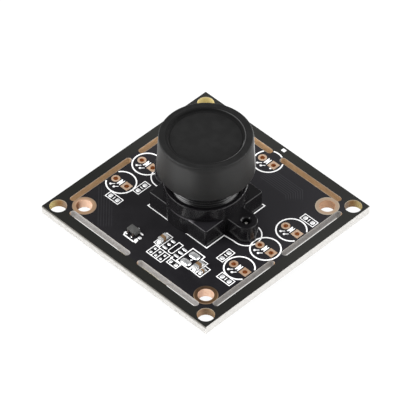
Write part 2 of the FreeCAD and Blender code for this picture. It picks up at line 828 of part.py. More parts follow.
def back_parts(parts):
    """The back of the board: processor in the middle, its helpers in rows above and below."""
    middle_y = processor_shift
    half_span = processor_span / 2
    upper = middle_y + half_span + part_gap
    lower = middle_y - half_span - part_gap
    add_soldered(parts, "processor", "processor_leads", processor(), [(0.0, middle_y, 0.0)], on_back)
    flash_x = -(part_gap + flash_span / 2)
    add_soldered(parts, "memory_chip", "memory_chip_leads", flash_chip(),
                 [(flash_x, upper + flash_length / 2, 0.0)], on_back)
    base, lid = crystal()
    crystal_x = part_gap + crystal_length / 2
    crystal_y = upper + crystal_width / 2
    parts["crystal_base"] = on_back(base, crystal_x, crystal_y)
    parts["crystal_lid"] = on_back(lid, crystal_x, crystal_y)
    inductor_x = 2 * part_gap + regulator_length / 2 + inductor_side / 2 + terminal_thickness
    add_soldered(parts, "power_inductor", "inductor_terminals", power_inductor(),
                 [(inductor_x, lower - inductor_side / 2, 0.0)], on_back)
    regulator_y = lower - regulator_span / 2
    second_x = -(regulator_length + part_gap)
    add_soldered(parts, "regulator_bodies", "regulator_leads", regulator(),
                 [(0.0, regulator_y, 0.0), (second_x, regulator_y, 0.0)], on_back)
    tantalum_x = second_x - regulator_length / 2 - part_gap - terminal_thickness - tantalum_length / 2
    add_soldered(parts, "tantalum_capacitor", "tantalum_terminals", tantalum_capacitor(),
                 [(tantalum_x, lower - tantalum_width / 2, 0.0)], on_back)
    chip_pitch = chip_0402[1] + part_gap
    column = half_span + part_gap + chip_0402[0] / 2
    rows = [middle_y + (index - 2) * chip_pitch for index in range(5)]
    add_soldered(parts, "back_capacitor_bodies", "back_capacitor_ends",
                 (chip_body(chip_0402), chip_ends(chip_0402)), [(column, y, 0.0) for y in rows], on_back)
    add_soldered(parts, "back_resistor_bodies", "back_resistor_ends",
                 (chip_body(resistor_0402), chip_ends(resistor_0402)),
                 [(-column, y, 0.0) for y in rows], on_back)


def connectors(parts):
    """Three connectors of one height, mouths towards the board's edges."""
    edge = inner_board_half - housing_edge_gap - housing_depth / 2
    places = (("signal_connector", signal_pin_count, 0.0, -edge, 180.0),
              ("lamp_connector", small_pin_count, -small_connector_x, edge, 0.0),
              ("microphone_connector", small_pin_count, small_connector_x, edge, 0.0))
    tabs = []
    for name, pin_count, x, y, turn in places:
        housing, pins, sides = connector(pin_count)
        parts[name + "_housing"] = on_back(housing, x, y, turn)
        parts[name + "_pins"] = Part.makeCompound([on_back(pin, x, y, turn) for pin in pins])
        tabs += [on_back(tab, x, y, turn) for tab in sides]
    parts["connector_tabs"] = Part.makeCompound(tabs)


def camera_module():
    parts = {"circuit_board": board(),
             "mounting_hole_rings": hole_rings(),
             "lamp_pads": lamp_pads(),
             "lens_holder": lens_holder(),
             "holder_screws": holder_screws(),
             "image_sensor": sensor(),
             "sensor_glass": sensor_glass(),
             "lens_barrel": lens_barrel(),
             "lens_cap": lens_cap()}
    parts.update(lens_stack())
    front_parts(parts)
    back_parts(parts)
    connectors(parts)
    return parts


os.makedirs("parts", exist_ok=True)
for node, shape in camera_module().items():
    shape.exportStep("parts/" + node + ".step")
    print(node, "solids", len(shape.Solids), "valid", shape.isValid(), "volume", round(shape.Volume, 3))
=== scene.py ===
# %% [markdown]
# # A bare camera module
#
# This lesson dresses a small camera board for its picture. The solids of every part are already built and
# packed, so the script starts by loading them as a frame that stays where it is. New surfaces are then laid
# over that frame: a real screw thread, a smooth cap, printed ink, tinned pads and solder. Last come the light
# and the camera. Work happens in millimetres and is turned into metres when a mesh is made.
#
# A few measures are shared by many cells: the height of the board's front face, how far the holes and slots
# lie from the lens axis, and the radius at the root of the lens thread.

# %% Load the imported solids
import math

import bmesh
import bpy
import numpy as np
from mathutils import Matrix, Vector


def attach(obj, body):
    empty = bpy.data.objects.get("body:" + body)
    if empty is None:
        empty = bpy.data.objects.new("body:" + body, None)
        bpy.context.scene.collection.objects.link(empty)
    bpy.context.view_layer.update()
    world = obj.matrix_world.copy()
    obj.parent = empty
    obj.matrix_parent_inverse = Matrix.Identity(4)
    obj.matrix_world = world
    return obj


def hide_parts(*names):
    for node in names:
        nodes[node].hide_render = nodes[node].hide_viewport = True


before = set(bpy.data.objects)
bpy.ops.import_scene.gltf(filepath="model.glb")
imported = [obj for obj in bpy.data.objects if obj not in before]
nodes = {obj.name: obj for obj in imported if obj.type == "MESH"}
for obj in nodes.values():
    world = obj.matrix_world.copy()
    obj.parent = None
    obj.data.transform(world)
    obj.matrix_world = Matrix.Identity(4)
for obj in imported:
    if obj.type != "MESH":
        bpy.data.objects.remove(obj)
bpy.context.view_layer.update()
MM = 0.001
FACE = 1.6
OUTER_HOLE, INNER_HOLE = 17.0, 14.0
SLOT_WALL, SLOT_LINE, SLOT_HALF_WIDTH = 15.875, 16.45, 0.575
SLOT_START, SLOT_END = 1.575, 14.075
THREAD_ROOT = 5.66

# %% [markdown]
# ## Shader sums written as Python
#
# A finish is a net of nodes. Wiring each one by hand hides the idea, so a socket is wrapped in a small class
# whose plus, minus and times add the Math nodes. One method makes every other kind of node: it takes the
# type, the settings that have to be there first, and the values or links of its sockets.

# %% A socket that can be added and multiplied
class Flow:
    """One socket in a net of nodes. Sums of flows and numbers add the Math nodes that work them out."""

    def __init__(self, net, socket):
        self.net = net
        self.socket = socket

    def math(self, operation, other=0.0):
        return self.net.node("Math", {0: self, 1: other}, operation=operation)

    def __add__(self, other):
        return self.math("ADD", other)

    def __sub__(self, other):
        return self.math("SUBTRACT", other)

    def __mul__(self, other):
        return self.math("MULTIPLY", other)

    def __abs__(self):
        return self.math("ABSOLUTE")

    def __getitem__(self, name):
        return Flow(self.net, self.socket.node.outputs[name])

    def wave(self):
        return self.math("SINE")

    def length_with(self, other):
        return (self * self + other * other).math("SQRT")

    def rise(self, low, high):
        """0 below low, 1 above high, and a smooth step between them."""
        return self.net.node("MapRange", {"Value": self, "From Min": low, "From Max": high},
                             interpolation_type="SMOOTHSTEP")

    def fall(self, low, high):
        """1 below low, 0 above high, and a smooth step between them."""
        return self.rise(low, high) * -1.0 + 1.0


# %% A net of nodes, and a finish
def paint(colour):
    """A colour as a screen shows it, three channels of 0 to 255 or one number for a grey, turned into the
    linear light that shaders use."""
    screen = np.broadcast_to(colour, 3) / 255.0
    linear = np.where(screen <= 0.04045, screen / 12.92, ((screen + 0.055) / 1.055) ** 2.4)
    return (*linear.tolist(), 1.0)


class Net:
    """The nodes of one material or world."""

    def __init__(self, owner):
        owner.use_nodes = True
        self.tree = owner.node_tree
        self.tree.nodes.clear()

    def give(self, socket, value):
        """Links a flow to a socket, or sets the socket to a plain value."""
        if isinstance(value, Flow):
            self.tree.links.new(value.socket, socket)
        else:
            socket.default_value = value

    def node(self, kind, sockets=None, **settings):
        """A shader node of any kind: its settings first, and then a flow or a value for each socket."""
        made = self.tree.nodes.new("ShaderNode" + kind)
        for name, value in settings.items():
            setattr(made, name, value)
        for name, value in (sockets or {}).items():
            self.give(made.inputs[name], value)
        return Flow(self, next((socket for socket in made.outputs if socket.enabled), None))


class Finish(Net):
    """A material in the making: one Principled shader, and the nodes that feed it."""

    def __init__(self, name, **constants):
        self.material = bpy.data.materials.new(name)
        super().__init__(self.material)
        self.shader = self.node("BsdfPrincipled")
        self.node("OutputMaterial", {"Surface": self.shader})
        self.feed(**constants)
        self.place = self.node("TexCoord")["Object"]
        spread = self.node("SeparateXYZ", {0: self.place})
        self.x, self.y, self.z = (spread[axis] * 1000.0 for axis in "XYZ")

    def from_hole(self, distance):
        """The ways in x and y from the nearest of four holes that lie distance from both axes."""
        return self.x - self.x.math("SIGN") * distance, self.y - self.y.math("SIGN") * distance

    def noise(self, size, detail=4.0, stretch=(1.0, 1.0, 1.0)):
        """Cloudy grey with blobs of about size millimetres, drawn out by stretch."""
        pulled = self.node("Mapping", {"Vector": self.place, "Scale": stretch})
        scale = 1.0 / (size * MM)
        return self.node("TexNoise", {"Vector": pulled, "Scale": scale, "Detail": detail})

    def blend(self, share, first, second):
        """first where share is 0, second where it is 1. Each is a flow, or a colour as paint takes it."""
        ends = [colour if isinstance(colour, Flow) else paint(colour) for colour in (first, second)]
        return self.node("Mix", {0: share, 6: ends[0], 7: ends[1]}, data_type="RGBA")

    def coats(self, colour, *coats):
        """Lays coats over a colour. Each is the share it covers, and its own colour."""
        for share, coat in coats:
            colour = self.blend(share, colour, coat)
        return colour

    def feed(self, **values):
        """Gives each named socket of the shader its flow or its constant."""
        for name, value in values.items():
            self.give(self.shader.socket.node.inputs[name.replace("_", " ")], value)

    def done(self, height, depth, **values):
        """Feeds the shader, adds bumps depth millimetres deep where height goes from 0 to 1, and hands over
        the material."""
        bump = self.node("Bump", {"Height": height, "Distance": depth * MM, "Strength": 1.0})
        self.feed(Normal=bump, **values)
        return self.material


print("shader helpers ready")

# %% [markdown]
# ## Black solder mask
#
# The board's two faces are covered in a thin black lacquer. It is satin rather than glossy, and the weave of
# the glass cloth under it shows as a very fine quilt. The narrow frame outside the slots looks a touch more
# olive, because less copper lies under it there. Two groups of fine copper tracks run under the lacquer and
# lift it a little: straight slanted ones on the left, and ones with a bend behind the lens on the right.

# %% Mix the mask
def mask_finish():
    mask = Finish("solder_mask", Specular_IOR_Level=0.18)
    cloud = mask.noise(2.5, 3.0).rise(0.35, 0.65)
    grain = mask.noise(0.18)
    weave = (mask.x * 14.0).wave() * (mask.y * 14.0).wave()
    reach = abs(mask.x).math("MAXIMUM", abs(mask.y))
    front = mask.z.rise(1.0, 1.5)
    slant, cross = mask.x + mask.y, mask.x - mask.y
    slanted = (slant * 10.1).wave().rise(0.1, 0.8) * slant.rise(-25.2, -24.9) * slant.fall(-21.7, -21.4)
    slanted = slanted * abs(cross).fall(6.0, 7.0)
    bent = mask.y.math("MAXIMUM", (slant - 17.9) * 0.7071 + 10.6)
    straight = (bent * 16.1).wave().rise(0.1, 0.8) * bent.rise(10.6, 10.8) * bent.fall(13.8, 14.0)
    straight = straight * mask.x.rise(1.4, 1.8) * cross.fall(-3.0, -1.5)
    tracks = (slanted * 0.5 + straight) * front
    # The mask and its olive frame band are paler towards the back.
    paler_to_back = mask.y.rise(-9.0, 8.0) * front
    band = mask.blend(paler_to_back * 0.75, (30, 30, 28), (45, 45, 43))
    colour = mask.coats((22, 21, 24), (cloud, (27, 26, 29)), (paler_to_back * 0.9, (42, 41, 44)),
                        (mask.x.fall(-2.0, 2.0) * 0.25, (38, 36, 38)),
                        (reach.rise(16.6, 17.0), band), (tracks * 0.55, (62, 62, 65)))
    return mask.done(weave * 0.25 + grain * 0.75 + tracks, 0.006,
                     Base_Color=colour, Roughness=grain * 0.12 + 0.34)


solder_mask = mask_finish()
print("finish", solder_mask.name)

# %% [markdown]
# ## Cut edges of the board
#
# Where the router has gone through, the glass fibre shows: thin layers of cloth in pale resin. The inner
# board's walls look light grey. The walls of the outer frame, and of the plain holes in it, look tan, because
# the light reaches them through the resin. The outermost faces are cream. One finish can do all of it,
# because a wall's distance from the lens axis tells which wall it is.

# %% Mix the cut glass fibre
def fibre_finish():
    fibre = Finish("cut_glass_fibre", Roughness=0.7, Specular_IOR_Level=0.3, Emission_Strength=0.3)
    reach = abs(fibre.x).math("MAXIMUM", abs(fibre.y))
    layers = (fibre.z * 31.0 + fibre.noise(1.2, 3.0) * 3.0).wave() * 0.5 + 0.5
    strands = fibre.noise(0.22, 5.0, (0.25, 0.25, 1.6)).rise(0.3, 0.7)
    cloth = layers * 0.45 + strands * 0.55
    # Painted light: the nearest slots' grey walls are painted paler than the others, as the side the light
    # falls on.
    painted_lit_front = fibre.y.rise(-15.9, -15.3)
    grey = fibre.blend(painted_lit_front, fibre.blend(cloth, (124, 125, 126), (176, 177, 178)),
                       fibre.blend(cloth, (102, 103, 104), (146, 147, 147)))
    tan = fibre.blend(cloth, (148, 116, 84), (190, 152, 112))
    # Painted highlight: a pale band along the top and the foot of each cut wall, where its rims catch the
    # light.
    top, foot = fibre.z.rise(1.42, 1.52), fibre.z.fall(0.08, 0.16)
    # Painted light and shade on the outermost faces: the right-hand face is painted paler than the near face,
    # and painted shade darkens the upper part of each, reaching lower on the near face.
    shade_height = fibre.y.rise(-18.88, -18.8) * 0.45
    cream = fibre.coats((166, 164, 160), (fibre.x.rise(18.6, 18.8), (196, 194, 190)),
                        (cloth, (206, 204, 201)), ((fibre.z - shade_height).rise(0.9, 1.5), (96, 93, 86)))
    outer = reach.rise(18.6, 18.8)
    wall = fibre.coats(grey, (reach.rise(16.25, 16.75), tan), ((top + foot) * 0.55, (190, 186, 178)),
                       (outer, cream))
    # Painted light and shade in the plain holes: each hole's wall is painted lighter or darker by which hole
    # it is and by the side it faces, with a painted highlight at its top rim; the strands are the cloth's
    # own.
    across, along = fibre.from_hole(OUTER_HOLE)
    side = fibre.x + fibre.y
    right = across + along
    olive = (184, 170, 112)
    left_hole = fibre.coats(olive, (right.rise(-1.7, 0.2), (136, 100, 58)),
                            (right.rise(0.3, 1.5), (116, 98, 86)))
    right_hole = fibre.coats((104, 88, 80), (right.rise(-1.6, -0.2), (118, 84, 44)),
                             (right.rise(-0.1, 1.6), (172, 156, 106)))
    near_hole = fibre.blend(right.rise(-1.6, 1.6), (128, 98, 76), (106, 84, 62))
    near_hole = fibre.blend(abs(right).rise(0.0, 1.2), (94, 70, 48), near_hole)
    bore = fibre.blend((fibre.x - fibre.y).rise(-20.0, 20.0), olive, near_hole)
    bore = fibre.blend(side.rise(-24.0, -14.0), left_hole, bore)
    bore = fibre.coats(bore, (side.rise(14.0, 24.0), right_hole), (strands * 0.35, (160, 140, 106)),
                       (top * 0.6, (186, 178, 160)))
    colour = fibre.blend(across.length_with(along).fall(1.6, 1.7), wall, bore)
    # Painted light: every cut wall but the outermost faces glows, standing for light that comes through the
    # resin.
    return fibre.done(cloth, 0.02, Base_Color=colour, Emission_Color=fibre.blend(outer, colour, 0))


cut_fibre = fibre_finish()
print("finish", cut_fibre.name)


# %% Sort the board's faces into mask and cut edge
def wear(piece, *finishes):
    """Takes a piece's own materials off and gives it these."""
    piece.data.materials.clear()
    for finish in finishes:
        piece.data.materials.append(finish)


def split_by_slope(piece, flat_finish, wall_finish):
    """Faces whose normal points up or down get the first finish, upright ones the second."""
    wear(piece, flat_finish, wall_finish)
    upright = [int(abs(face.normal.z) < 0.5) for face in piece.data.polygons]
    piece.data.polygons.foreach_set("material_index", upright)
    return sum(upright)


print("cut-edge triangles", split_by_slope(nodes["circuit_board"], solder_mask, cut_fibre))

# %% [markdown]
# ## Copper, tin and ink
#
# The mounting holes and the lamp holes are plated with copper that has a warm, dull shine: paler on the pad,
# darker down the hole. That shade, and the copper's light and dark sides round each hole, are painted into
# its colour, and the walls down the holes carry a painted glow. Tin on the solder pads is bright and a little
# lumpy, and a painted glow lifts it. The ink is an off-white paint, printed through a screen, so its surface
# is faintly rough; a faint painted glow lifts it too.

# %% Mix the copper of the mounting holes
def ring_copper_finish():
    copper = Finish("ring_copper", Metallic=0.7, Emission_Strength=0.2)
    across, along = copper.from_hole(INNER_HOLE)
    radius = across.length_with(along)
    right = across + along
    side = copper.x + copper.y
    tarnish = copper.noise(0.5)
    # Painted light and shade: the pad, rim and wall of each mounting hole are painted paler or darker by
    # which hole it is and by the side that faces the light, and the wall down the hole carries a painted
    # glow.
    near, middle = (copper.x - copper.y).rise(6.0, 22.0), side.rise(-20.0, 20.0)
    back = (along - across).rise(-0.6, 2.2)
    left_pad = copper.blend(back * radius.fall(1.5, 1.75), (196, 160, 128), (232, 190, 158))
    near_pad = copper.coats((90, 66, 44), (right.rise(-1.0, 1.8), (112, 84, 56)), (back * 0.6, (74, 54, 40)))
    pad = copper.coats(left_pad, (middle, (214, 187, 161)), (near, near_pad),
                       (tarnish * 0.2, (160, 128, 100)))
    near_rim = copper.blend(back, (172, 144, 116), (92, 76, 62))
    rim = copper.coats((184, 158, 134), (middle, (216, 202, 182)), (near, near_rim))
    left_wall = copper.blend(right.rise(-1.7, -0.5), (124, 80, 48), (248, 213, 187))
    right_wall = copper.blend(right.rise(-1.2, 1.2), (188, 150, 120), (200, 160, 128))
    wall = copper.blend(tarnish.rise(0.3, 0.7), (230, 194, 168), (242, 212, 188))
    wall = copper.blend(right.rise(-1.2, 0.2), (206, 172, 150), wall)
    wall = copper.blend(side.rise(-20.0, -8.0), left_wall, wall)
    wall = copper.blend(side.rise(8.0, 20.0), wall, right_wall)
    inside = radius.fall(1.31, 1.36)
    colour = copper.coats(pad, (radius.rise(1.8, 1.92), rim), (inside, wall))
    return copper.done(tarnish, 0.01, Base_Color=colour, Roughness=tarnish * 0.2 + 0.3,
                       Emission_Color=copper.blend(inside, 0, wall))


ring_copper = ring_copper_finish()
print("finish", ring_copper.name)


# %% Mix the copper of the lamp pads
def lamp_copper_finish():
    copper = Finish("lamp_copper", Metallic=0.55, Emission_Strength=0.25)
    tarnish = copper.noise(0.35)
    # Painted shade and light: the nearer lamp pads are painted darker, the wall down each hole is painted
    # darker as shade, and a painted glow lifts that wall again.
    face = copper.coats((208, 173, 142), (tarnish.rise(0.3, 0.7), (226, 201, 178)),
                        ((copper.x - copper.y).rise(6.0, 20.0) * 0.6, (176, 144, 117)))
    hole = copper.blend(tarnish.rise(0.4, 0.6), (132, 72, 30), (186, 124, 74))
    depth = copper.z.rise(1.45, 1.62) + copper.z.fall(-0.02, 0.1)
    return copper.done(tarnish, 0.01, Base_Color=copper.blend(depth, hole, face),
                       Roughness=tarnish * 0.2 + 0.32, Emission_Color=copper.blend(depth, hole, 0))


lamp_copper = lamp_copper_finish()
print("finish", lamp_copper.name)


# %% Mix the tin, the solder and the ink
def tin_finish(name, pale, grey, lump, rough, glow):
    # The tin glows a little: a painted light that stands for its bright reflections.
    tin = Finish(name, Metallic=0.85, Emission_Strength=glow)
    lumps = tin.noise(lump, 3.0)
    colour = tin.blend(lumps.rise(0.35, 0.65), pale, grey)
    return tin.done(lumps, 0.01, Base_Color=colour, Emission_Color=colour, Roughness=lumps * 0.2 + rough)


def ink_finish():
    # The ink glows faintly: a painted light that keeps it white where the cap shades it.
    ink = Finish("printed_ink", Specular_IOR_Level=0.3, Emission_Strength=0.2)
    speckle = ink.noise(0.07, 3.0)
    white = ink.blend(speckle.rise(0.3, 0.7), 232, 248)
    return ink.done(speckle, 0.006, Base_Color=white, Emission_Color=white, Roughness=speckle * 0.2 + 0.5)


solder_tin = tin_finish("solder_tin", 246, (206, 208, 210), 0.7, 0.12, 0.22)
bright_tin = tin_finish("bright_tin", 246, (220, 222, 224), 0.5, 0.3, 0.34)
dull_tin = tin_finish("dull_tin", (104, 96, 92), (74, 68, 66), 0.3, 0.35, 0.0)
plated_tin = tin_finish("plated_tin", (226, 225, 222), (196, 195, 192), 0.7, 0.2, 0.04)
printed_ink = ink_finish()
print("finishes", solder_tin.name, plated_tin.name, printed_ink.name)

# %% [markdown]
# ## Black plastic, anodised metal and soft rubber
#
# Three blacks meet on this part. The moulded holder is a smooth nylon that mirrors the studio in thin lines
# along its edges; its paler near corner and a thin line on its ledge are painted light. The lens barrel is
# aluminium, turned and anodised, so it is glossier. The dust cap is soft and matte; the pale sheen where its
# wall turns away is painted into its colour, and so are the shade and the highlight round its dish.

# %% Mix the blacks
def black_finish(name, dark, pale, grain_size, rough, spread, depth, mirroring):
    """Two close blacks in wide clouds, and a grain of its own that dulls and dents the surface."""
    black = Finish(name, Specular_IOR_Level=mirroring)
    grain = black.noise(grain_size)
    cloud = black.noise(grain_size * 12.0, 2.0)
    return black.done(grain, depth, Base_Color=black.blend(cloud.rise(0.3, 0.7), dark, pale),
                      Roughness=grain * spread + rough)


def rubber_finish():
    """Soft black with a fine grain. Light and shade are painted into the colour: on the wall two pale bands
    of painted sheen and a paler painted rim where it turns away, fading towards the mouth; the dish painted
    darker on its near side; and the step round the dish painted dark as shade, with one thin painted
    highlight on its edge."""
    rubber = Finish("cap_rubber", Specular_IOR_Level=0.24)
    to_right, to_near = rubber.x + rubber.y, rubber.x - rubber.y
    grain = rubber.noise(0.12)
    patches = rubber.noise(1.4, 2.0).rise(0.3, 0.7)
    turning = rubber.node("LayerWeight", {"Blend": 0.5})["Facing"]
    height = rubber.z.rise(10.8, 15.6) * 0.85 + 0.15
    # Painted sheen: two pale bands where the wall begins to turn away, with a paler painted rim beyond them,
    # all fading towards the mouth.
    painted_sheen = turning.rise(0.235, 0.31) * turning.fall(0.37, 0.6) * height
    wall = rubber.coats(16, (patches, 20), (turning.rise(0.3, 0.75) * height, 38),
                        (painted_sheen * (to_right.fall(-4.0, 1.0) * 0.5 + 0.36), 52))
    # Painted shade: the dish is darker on its near side.
    dish = rubber.coats(20, (patches, 26), (to_near.rise(2.0, 9.0) * 0.7, 8))
    reach = rubber.x.length_with(rubber.y)
    # Painted shade in the step round the dish, a painted highlight on its right-hand edge, and a bright
    # painted highlight along the wall's outline, stronger on the right.
    step = reach.rise(5.7, 5.85) * reach.fall(6.5, 6.7) * rubber.z.rise(17.0, 17.2)
    edge = reach.rise(6.24, 6.3) * reach.fall(6.38, 6.46)
    lit_side = to_right.rise(0.0, 9.0) * 0.62 + 0.07
    colour = rubber.coats(wall, (rubber.z.rise(16.9, 17.5), rubber.blend(patches, 18, 24)),
                          (reach.fall(5.9, 6.3), dish), (step * 0.9, 6),
                          (step * edge * to_right.rise(1.0, 7.0) * 0.5, 96),
                          (turning.rise(0.82, 0.99) * lit_side, 200))
    return rubber.done(grain, 0.012, Base_Color=colour, Roughness=grain * 0.12 + step * 0.4 + 0.44)


def nylon_finish():
    """Smooth nylon. The flat top of the nearest corner is painted a little paler than the rest, as painted
    light, and the thin ledge where the collar stands on the base carries a pale painted highlight."""
    nylon = Finish("holder_nylon", Specular_IOR_Level=0.3)
    grain = nylon.noise(0.3)
    cloud = nylon.noise(3.6, 2.0)
    # Painted light: the flat top of the nearest corner is paler; painted highlight: a pale line on the ledge
    # at the foot of the collar.
    corner = (nylon.x - nylon.y).rise(8.5, 11.0) * nylon.z.rise(4.9, 4.97) * nylon.z.fall(5.03, 5.1)
    painted_ledge_highlight = nylon.x.length_with(nylon.y).rise(6.85, 6.95) * nylon.z.rise(4.78, 4.88)
    painted_ledge_highlight = painted_ledge_highlight * nylon.z.fall(5.01, 5.06) * nylon.y.fall(-6.4, -5.6)
    painted_ledge_highlight = painted_ledge_highlight * nylon.x.rise(-3.0, 3.0) * nylon.x.fall(3.0, 3.8)
    colour = nylon.coats((16, 15, 17), (cloud.rise(0.3, 0.7), (20, 19, 21)),
                         (corner * abs(nylon.x).fall(6.6, 6.8), (32, 31, 34)), (painted_ledge_highlight * 0.6, (104, 102, 105)))
    return nylon.done(grain, 0.0006, Base_Color=colour, Roughness=grain * 0.08 + 0.2)


holder_nylon = nylon_finish()
cap_rubber = rubber_finish()
barrel_black = black_finish("anodised_black", (14, 14, 15), (22, 22, 23), 0.08, 0.16, 0.1, 0.002, 0.6)
moulded_epoxy = black_finish("moulded_epoxy", (44, 44, 46), (56, 56, 58), 0.06, 0.55, 0.2, 0.008, 0.4)
small_epoxy = black_finish("small_epoxy", (72, 72, 71), (84, 84, 83), 0.06, 0.5, 0.2, 0.006, 0.4)
print("finishes so far", len(bpy.data.materials))

# %% [markdown]
# ## Ceramics, glass and the other small parts
#
# Chip capacitors are bare tan ceramic. Resistors have a black glaze, and the connectors are milky nylon. Each
# has some grain of its own, so that no surface is one flat colour, also on the hidden back.

# %% Mix the small parts' finishes
def plain_finish(name, first, second, size, rough, depth, **constants):
    """Two close colours in clouds of size millimetres, with bumps to match."""
    plain = Finish(name, **constants)
    cloud = plain.noise(size)
    colour = plain.blend(cloud.rise(0.3, 0.7), first, second)
    return plain.done(cloud, depth, Base_Color=colour, Roughness=cloud * 0.15 + rough)


ceramic_tan = plain_finish("ceramic_tan", (104, 80, 54), (130, 104, 76), 0.3, 0.35, 0.01)
glaze_black = plain_finish("glaze_black", (26, 26, 28), (38, 38, 40), 0.3, 0.2, 0.004)
crystal_base = plain_finish("crystal_base", (58, 52, 50), (70, 64, 60), 0.3, 0.5, 0.01)
ferrite_grey = plain_finish("ferrite_grey", (66, 66, 68), 88, 0.12, 0.6, 0.02)
tantalum_gold = plain_finish("tantalum_gold", (212, 150, 40), (226, 168, 58), 0.5, 0.35, 0.006)
connector_nylon = plain_finish("connector_nylon", (226, 220, 202), (236, 232, 218), 0.6, 0.42, 0.008)
blackened = plain_finish("blackened_ring", 24, 32, 0.1, 0.5, 0.004)
sensor_dark = plain_finish("sensor_silicon", (62, 54, 78), (78, 70, 92), 1.5, 0.12, 0.0005, Metallic=0.6)


def screw_finish():
    """Zinc-plated steel, painted dark as shade along the thread up to the tip, where it sits in the holes.
    The tip's small flat end keeps the steel's own colour, which shows as its glint.
    """
    steel = Finish("screw_steel", Metallic=0.9)
    cloud = steel.noise(0.25)
    off_middle = (abs(steel.x) - 9.2).length_with(steel.y)
    # Painted shade: the shank and tip are dark where they sit in the holes, all but the tip's flat end.
    painted_hole_shade = steel.z.rise(0.0, 0.5) * off_middle.rise(0.16, 0.3)
    colour = steel.coats((178, 176, 172), (cloud.rise(0.3, 0.7), (200, 198, 194)), (painted_hole_shade, (34, 33, 32)))
    return steel.done(cloud, 0.006, Base_Color=colour, Roughness=cloud * 0.15 + 0.22)


screw_steel = screw_finish()
print("finishes mixed", len(bpy.data.materials))


# %% Mix the coated glass
def glass_finish(name, body, second, alpha, coat):
    """Polished glass as a thin clear skin: strong reflections, a tint, and a look-through share."""
    glass = Finish(name, Roughness=0.03, IOR=1.7, Coat_Weight=0.6, Coat_Tint=coat, Alpha=alpha)
    haze = glass.noise(4.0, 1.0)
    glass.feed(Base_Color=glass.blend(haze.rise(0.35, 0.65), body, second))
    return glass.material


optical_glass = glass_finish("optical_glass", (34, 44, 62), (48, 44, 74), 0.35, (0.55, 0.75, 1.0, 1.0))
filter_glass = glass_finish("filter_glass", (128, 70, 84), (146, 92, 98), 0.5, (1.0, 0.6, 0.6, 1.0))
print("glass", optical_glass.name, filter_glass.name)

# %% Give every solid its finish
# Tinned metal and connector housings are known by the last word of their names.
tinned = ("_ends", "_leads", "_terminals", "_pins", "_tabs", "_lid")
wardrobe = {
    plated_tin: [name for name in nodes if name.endswith(tinned) and name != "transistor_leads"],
    ring_copper: ["mounting_hole_rings"],
    lamp_copper: ["lamp_pads"],
    holder_nylon: ["lens_holder"],
    screw_steel: ["holder_screws"],
    sensor_dark: ["image_sensor"],
    optical_glass: ["sensor_glass", "rear_element", "middle_element", "second_element", "front_element"],
    filter_glass: ["infrared_filter"],
    blackened: ["rear_spacer", "aperture_stop", "middle_spacer", "front_spacer", "retaining_ring"],
    barrel_black: ["lens_barrel"],
    cap_rubber: ["lens_cap"],
    small_epoxy: ["transistor_body"],
    moulded_epoxy: ["processor", "memory_chip", "regulator_bodies"],
    dull_tin: ["transistor_leads"],
    ceramic_tan: ["front_capacitor_bodies", "back_capacitor_bodies"],
    glaze_black: ["back_resistor_bodies"],
    crystal_base: ["crystal_base"],
    ferrite_grey: ["power_inductor"],
    tantalum_gold: ["tantalum_capacitor"],
    connector_nylon: [name for name in nodes if name.endswith("_housing")],
}
for material, names in wardrobe.items():
    for name in names:
        wear(nodes[name], material)
dressed = {name for names in wardrobe.values() for name in names} | {"circuit_board"}
print("solids without a finish", sorted(set(nodes) - dressed))

# %% [markdown]
# ## Meshes from whole arrays
#
# A piece starts as a blank: points and faces that are gathered in millimetres. A sheet of points in rows and
# columns becomes a skin of four-sided faces. The same idea serves for a lathe-turned shape, where the rows
# are the outline and the columns go round, and for a bar, where the rows follow a path.

# %% Gather points and faces
def around(radius, angle, height):
    """Points round the lens axis: x and y are radius times the cosine and the sine of angle, z is height."""
    return np.stack(np.broadcast_arrays(radius * np.cos(angle), radius * np.sin(angle), height), axis=-1)


def corner_arc(centre, radius, start, end, steps):
    """Points on an arc: centre plus radius times cosine and sine of angles from start to end, in degrees."""
    angle = np.radians(np.linspace(start, end, steps))
    return around(radius, angle, 0.0)[:, :2] + centre


def corners(left, right, low, high):
    """The corners of a rectangle, anticlockwise from the lower left one."""
    return [(left, low), (right, low), (right, high), (left, high)]


